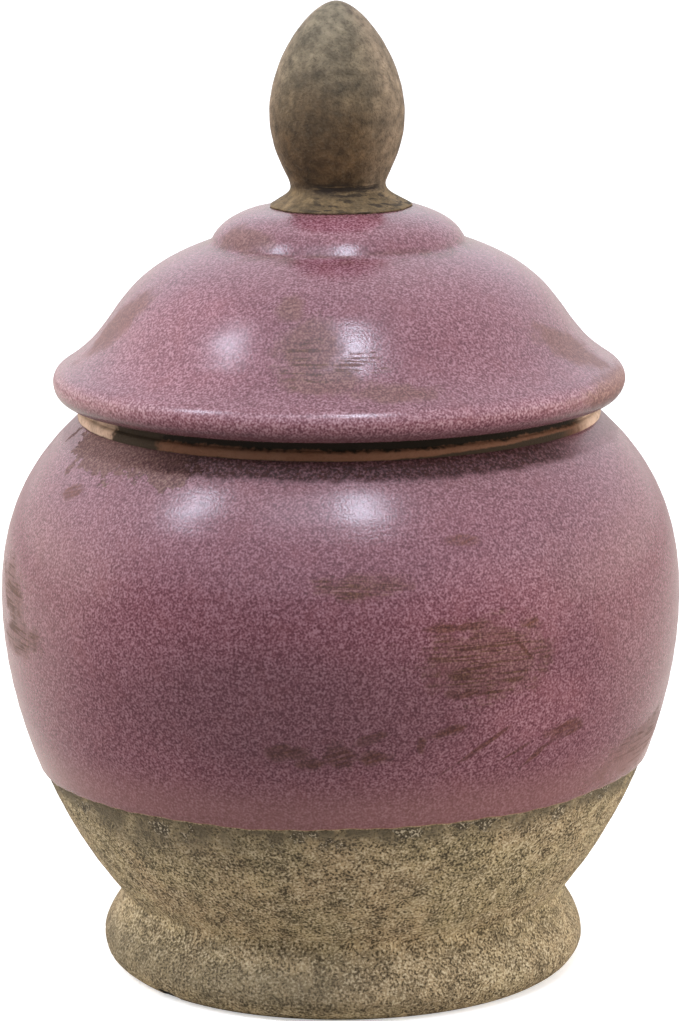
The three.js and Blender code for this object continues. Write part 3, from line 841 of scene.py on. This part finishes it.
# Painted light on the belly's right and painted shade on its front, in soft clouds.
painted_light = times(tree, worn(tree, spot, 0, JAR_PAINTED_LIGHT), PAINTED_LIGHT_SHARE)
colour = tint(tree, painted_light, colour, PAINTED_LIGHT_CLOUD, "MULTIPLY")
colour = tint(tree, worn(tree, spot, 0, JAR_PAINTED_SHADE), colour, PAINTED_SHADE_CLOUD, "MULTIPLY")
# Under the neck the glaze is darkened partly by soot and dirt and partly by painted shade from the lid and
# neck.
up_to_neck = times_plus(tree, raggedness, 1.6, spot["Height"])
under_neck = fade(tree, up_to_neck, neck_base - 6, neck_base - 3.8)
in_front = times_plus(tree, band(tree, spot["Azimuth"], *SOOT_AND_SHADE_FRONT), 0.82, 0.18)
dirt_and_shade_depth = times_plus(tree, fade(tree, speckle(tree, place, 0.9, 2), 0.36, 0.58), 0.35, 0.65)
neck_dirt_and_shade = times(tree, under_neck, in_front, dirt_and_shade_depth)
colour = tint(tree, neck_dirt_and_shade, colour, NECK_SOOT_AND_SHADE, "MULTIPLY")
glossy = shader.inputs["Roughness"].links[0].from_socket
tree.links.new(times_plus(tree, neck_dirt_and_shade, 0.6, glossy), shader.inputs["Roughness"])
line_rise = add(tree, "Attribute", attribute_name="above_glaze_line").outputs["Fac"]
colour = tint(tree, times(tree, fade(tree, line_rise, 19, 4), LOW_SHARE), colour, GLAZE_LOW)
colour = tint(tree, times(tree, fade(tree, line_rise, 0.9, 0.35), TAN_SHARE), colour, GLAZE_TAN)
tree.links.new(colour, shader.inputs["Base Color"])
finish_piece(jar_coat, plum_jar, "jar", "jar_glaze")


# Lid flange: a plain ring of the neck's clay, luted under the lid. It drops into the mouth and keeps the lid
# from sliding off. It is left bare, like the neck.
FLANGE_WALL = 6.0
FLANGE_CHAMFER = 1.5
FLANGE_WEAR = 0.6
FLANGE_STEP = 1.2
flange_radius, flange_bottom, flange_top = extent("lid_flange")
flange_inside = flange_radius - FLANGE_WALL
flange_outline = outline(
    (flange_inside + FLANGE_CHAMFER, flange_bottom),
    (flange_radius - FLANGE_CHAMFER, flange_bottom),
    (flange_radius, flange_bottom + FLANGE_CHAMFER),
    (flange_radius, flange_top),
    (flange_inside, flange_top),
    (flange_inside, flange_bottom + FLANGE_CHAMFER),
    wear=FLANGE_WEAR, spacing=FLANGE_STEP)
flange = turn("lid_flange_clay", flange_outline, thrown_shape)
finish_piece(flange, neck_clay, "lid", "lid_flange")


# Lid dome: a domed lid of stoneware with a rolled rim that rests on the neck, and a raised crown that carries
# the finial. It is thrown upside down; its underside is left bare.
LID_WALL = 7.0
LID_WEAR = 0.5
FACE_STEP = 0.4
CROWN_RADIUS = 38.0
CROWN_RISE = 11.0
CROWN_HOLLOW = 3.2  # reach of the soft hollow where the crown meets the dome
RIM_ROLL = 4.9
RIM_JOIN = 58
SEAT_GAP = 0.3
FLANGE_REBATE = 3.0
FINIAL_BASE = 22.7
TENON_HOLE = 11.3
lid_radius, rim_bottom, crown_top = extent("lid_dome")
lid_seat = neck_top + SEAT_GAP
roll_centre = (lid_radius - RIM_ROLL, rim_bottom + RIM_ROLL)
roll_start = math.degrees(math.asin((roll_centre[1] - lid_seat) / RIM_ROLL)) - 180
rim_roll = arc(roll_centre, RIM_ROLL, roll_start, RIM_JOIN)
crown_crease = (CROWN_RADIUS, crown_top - CROWN_RISE)
dome_face = curve(rim_roll[-1], (0.44, 0.33), (0.72, 0.29), crown_crease)
crown_face = curve(crown_crease, (0.03, 0.44), (0.59, 0.17), (FINIAL_BASE - 3, crown_top))
lid_face = outline(dome_face, crown_face[1:], wear=CROWN_HOLLOW, closed=False, spacing=FACE_STEP)
lid_underside = inset(lid_face, LID_WALL)
lid_underside = lid_underside[(lid_underside[:, 0] < flange_inside) & (lid_underside[:, 0] > TENON_HOLE)]
lid_outline = outline(
    (flange_inside, lid_seat + FLANGE_REBATE),
    (flange_radius + SLIP_GAP, lid_seat + FLANGE_REBATE),
    (flange_radius + SLIP_GAP, lid_seat),
    rim_roll,
    lid_face[1:],
    (TENON_HOLE, crown_top),
    (TENON_HOLE, lid_underside[-1][1]),
    lid_underside[::-1],
    wear=LID_WEAR)
lid = turn("lid_dome_clay", lid_outline, thrown_shape)
finish_piece(lid, bare_clay, "lid", "lid_dome")


# Finial: a hollow bud of dark grey-brown clay on a flared collar, shaped by hand and burnished. Its vented
# tenon is luted through the crown, so it is the knob that the lid is lifted by. It is left bare.
FINIAL_STEPS = 256
FINIAL_WEAR = 0.5
FINIAL_STEP = 0.7
FINIAL_EDGE = 0.4
FINIAL_UNDERCUT = 1.3
WAIST = (14.6, 7.0)
BUD = (20.5, 28.0)
FINIAL_WALL = 6.0
VENT_RADIUS = 3.0
TENON_RADIUS = 11.0
FINIAL_BROWN = (0.081, 0.05, 0.024, 1)
FINIAL_GREY = (0.168, 0.139, 0.092, 1)
FINIAL_OLIVE = (0.134, 0.091, 0.045, 1)
FINIAL_SIDE_LIGHT = (0.186, 0.139, 0.096, 1)
FINIAL_SMOKE = (0.05, 0.034, 0.018, 1)
FINIAL_PIT = (0.03, 0.02, 0.012, 1)
FINIAL_FLECK = (0.26, 0.22, 0.165, 1)
FINIAL_GRIME_AND_SHADE = (0.019, 0.012, 0.007, 1)
_, tenon_bottom, tip_height = extent("finial")
finial_seat = crown_top + SLIP_GAP
waist = (WAIST[0], finial_seat + WAIST[1])
bud = (BUD[0], finial_seat + BUD[1])
hollow_side = (BUD[0] - FINIAL_WALL, bud[1])


def finial_spacing(point):
    """Fine on the outside of the bud and collar, and coarse on the tenon and in the hollow."""
    seen = point[0] > TENON_RADIUS or point[1] > tip_height - FINIAL_WALL
    return FINIAL_STEP if seen else LONGEST_STEP


finial_outline = outline(
    curve((0, tip_height - 2 * FINIAL_WALL), (0.5, 0), (0, 0.5), hollow_side),
    curve(hollow_side, (0, 0.6), (0.8, 0), (VENT_RADIUS, waist[1] + FINIAL_WALL)),
    (VENT_RADIUS, tenon_bottom),
    (TENON_RADIUS, tenon_bottom),
    (TENON_RADIUS, finial_seat),
    (FINIAL_BASE - FINIAL_UNDERCUT, finial_seat),
    (FINIAL_BASE, finial_seat - 0.1),
    curve((FINIAL_BASE, finial_seat + FINIAL_EDGE), (0.65, 0.45), (0, 0.43), waist),
    curve(waist, (0, 0.11), (0, 0.56), bud),
    curve(bud, (0, 0.49), (0.38, 0), (0, tip_height)),
    wear=FINIAL_WEAR, closed=False, spacing=finial_spacing)


def collar_slip(azimuth):
    """How far the hand-pressed collar falls short of its full width, unevenly and most on the left."""
    return 1.1 * (1 - np.sin(azimuth)) + 0.3 * np.sin(5 * azimuth + 1.0) + 0.2 * np.sin(11 * azimuth + 0.3)


def finial_shape(azimuth, radius, height):
    outer = np.clip(radius / TENON_RADIUS - 0.4, 0, 1)
    moved = outer * (0.7 * thrown(azimuth, height) + 0.5 * weathered(azimuth, radius, height))
    on_collar = np.clip((waist[1] - height) / (waist[1] - finial_seat), 0, 1) * (radius > TENON_RADIUS + 1)
    return radius + moved - collar_slip(azimuth) * on_collar, height


finial = turn("finial_clay", finial_outline, finial_shape, steps=FINIAL_STEPS, closed=False)
finial_finish, tree, shader, place = new_material("finial_stoneware", Roughness=0.78, Specular_IOR_Level=0.3)
spot = place_group(tree, turned_place, {"Place": place})
clouded = times_plus(tree, speckle(tree, place, 16, 3), 22, spot["Height"])
greyness = fade(tree, clouded, waist[1] + 22, tip_height + 8)
body = tint(tree, greyness, FINIAL_BROWN, FINIAL_GREY)
smoke = fade(tree, speckle(tree, place, 9, 4, 0.65), 0.5, 0.68)
# Painted light: the bud's left and right sides are painted lighter tan, as rim light.
sideways = away(tree, spot["Azimuth"], -16)
to_sides = band(tree, sideways, 30, 76, 110, 150)
body = tint(tree, times(tree, to_sides, 0.8), body, FINIAL_SIDE_LIGHT)
body = tint(tree, times(tree, smoke, 0.38), body, FINIAL_SMOKE)
burnish = remap(tree, speckle(tree, place, 2.6, 2, 0.5), 0.3, 0.7, 0.66, 1.36)
on_collar = fade(tree, spot["Height"], waist[1] + 0.5, waist[1] - 2.5)
body = tint(tree, on_collar, body, FINIAL_OLIVE)
body = brighten(tree, body, burnish)
clay = place_group(tree, pitted_clay, {
    "Place": place, "Body": body, "Warm": body, "Pit": FINIAL_PIT, "Fleck": FINIAL_FLECK,
    "Pitting": 0.3, "Flecking": 0.12})
# The dark band round the waist under the bud is partly grime and partly painted shade; the marks on the
# collar are grime.
near_waist = away(tree, spot["Height"], waist[1] - 0.3)
streaks = brush_strokes(tree, spot, 0, 1.2, 30)
from_front = away(tree, spot["Azimuth"], 14)
waist_share = times_plus(tree, fade(tree, from_front, 58, 34), 0.75, 0.25)
waist_grime_and_shade = times(tree, fade(tree, near_waist, 3.2, 0.4), fade(tree, streaks, 0.34, 0.54), waist_share)
marks = times(tree, on_collar, fade(tree, brush_strokes(tree, spot, 0.02, 1.1, 16), 0.5, 0.62))
marks_share = times_plus(tree, fade(tree, spot["Azimuth"], -42, -12), 0.6, 0.25)
grime_and_shade = larger(tree, waist_grime_and_shade, times(tree, marks, marks_share))
tree.links.new(tint(tree, grime_and_shade, clay["Color"], FINIAL_GRIME_AND_SHADE), shader.inputs["Base Color"])
emboss(tree, shader, clay["Height"], *FINE_RELIEF)
finish_piece(finial, finial_finish, "lid", "finial")


# Lid glaze: the same plum glaze over the lid, from under the rolled rim up to the finial. It is worn paler
# along the rim, where hands and the shelf rub it, and painted lighter there too; shade is painted grey under
# the rim, and dirt has settled in the crease under the crown.
RIM_GLAZE_START = -60
COLLAR_LAP, COLLAR_FADE = 0.5, 5
RIM_SHADE_SHARE, CREASE_SHARE = 0.7, 0.6
RIM_WORN_AND_LIT = (1.8, 2.3, 2.1, 1)  # times the glaze colour, where the rim is worn paler and painted lighter
RIM_PAINTED_SHADE = (0.075, 0.042, 0.046, 1)
rim_face = arc(roll_centre, RIM_ROLL, RIM_GLAZE_START, RIM_JOIN)
lid_glazed_face = np.vstack([rim_face, lid_face[1:][lid_face[1:, 0] > FINIAL_BASE - COLLAR_LAP]])
lid_coat_outline = outline(coat(lid_glazed_face), wear=GLAZE_WEAR, spacing=hidden_coat(lid_glazed_face))


def lid_coat_shape(azimuth, radius, height):
    """The coat runs up to the finial's uneven collar all round."""
    near = np.clip((FINIAL_BASE + COLLAR_FADE - radius) / COLLAR_FADE, 0, 1)
    return radius + thrown(azimuth, height) - collar_slip(azimuth) * near, height


lid_coat = turn("lid_glaze_coat", lid_coat_outline, lid_coat_shape)
LID_RUBBED = [
    (-7, 203.5, 9.5, 9, 0), (-3, 195, 11, 4.5, 0), (11, 192, 11, 2.6, 0), (-13, 213.5, 5, 4, 0),
    (-73, 204, 9, 12, 0.6), (67, 197, 10, 9, -1), (-52, 229.5, 20, 4, 0), (74, 184.5, 22, 5, 0),
    (140, 203, 16, 9, 0)]
LID_SCRATCHED = [(5, 199, 8, 4, 0), (-8, 200, 7, 7, 0), (136, 201, 9, 6, 0)]
LID_SMEARS = [(-150, 197, 8, 4, 0.5)]
LID_FILM = [(-120, 192, 5, 4, 0)]
LID_PAINTED_LIGHT = [(0, 234.5, 26, 5, 0), (-42, 202.5, 28, 16.5, 0)]
plum_lid, tree, shader, place, spot, raggedness, colour = plum_glaze(
    "plum_glaze_lid", LID_RUBBED, 0.7, LID_SCRATCHED, LID_SMEARS, LID_FILM)
# Painted light near the finial's collar, where it shades the crown, and on the dome's left.
colour = tint(tree, worn(tree, spot, 0, LID_PAINTED_LIGHT), colour, PAINTED_LIGHT_CLOUD, "MULTIPLY")
rim_level = away(tree, spot["Height"], rim_bottom + 6.5)
rim_strokes = brush_strokes(tree, spot, 0, 2.2, 14)
rim_share = times_plus(tree, rim_strokes, 0.5, 0.3)
# The rim's roll is worn paler and painted lighter.
rim_wear_and_light = times(tree, fade(tree, rim_level, 3.6, 1), rim_share)
colour = tint(tree, rim_wear_and_light, colour, RIM_WORN_AND_LIT, "MULTIPLY")
# Painted shade: the underside of the rolled rim is painted dark grey.
rim_shade = times(tree, fade(tree, spot["Height"], rim_bottom + 3.6, rim_bottom + 1), RIM_SHADE_SHARE)
colour = tint(tree, rim_shade, colour, RIM_PAINTED_SHADE)
in_crease = away(tree, spot["Height"], crown_crease[1] + 0.6)
crease_dirt = times(tree, fade(tree, in_crease, 2.4, 0.2), fade(tree, rim_strokes, 0.38, 0.6))
ragged_height = times_plus(tree, raggedness, 0.5, spot["Height"])
by_finial = fade(tree, ragged_height, crown_top - 0.6, crown_top + 0.9)
crease_dirt = larger(tree, crease_dirt, by_finial)
colour = tint(tree, times(tree, crease_dirt, CREASE_SHARE), colour, RUBBED_BROWN, "MULTIPLY")
tree.links.new(colour, shader.inputs["Base Color"])
finish_piece(lid_coat, plum_lid, "lid", "lid_glaze")
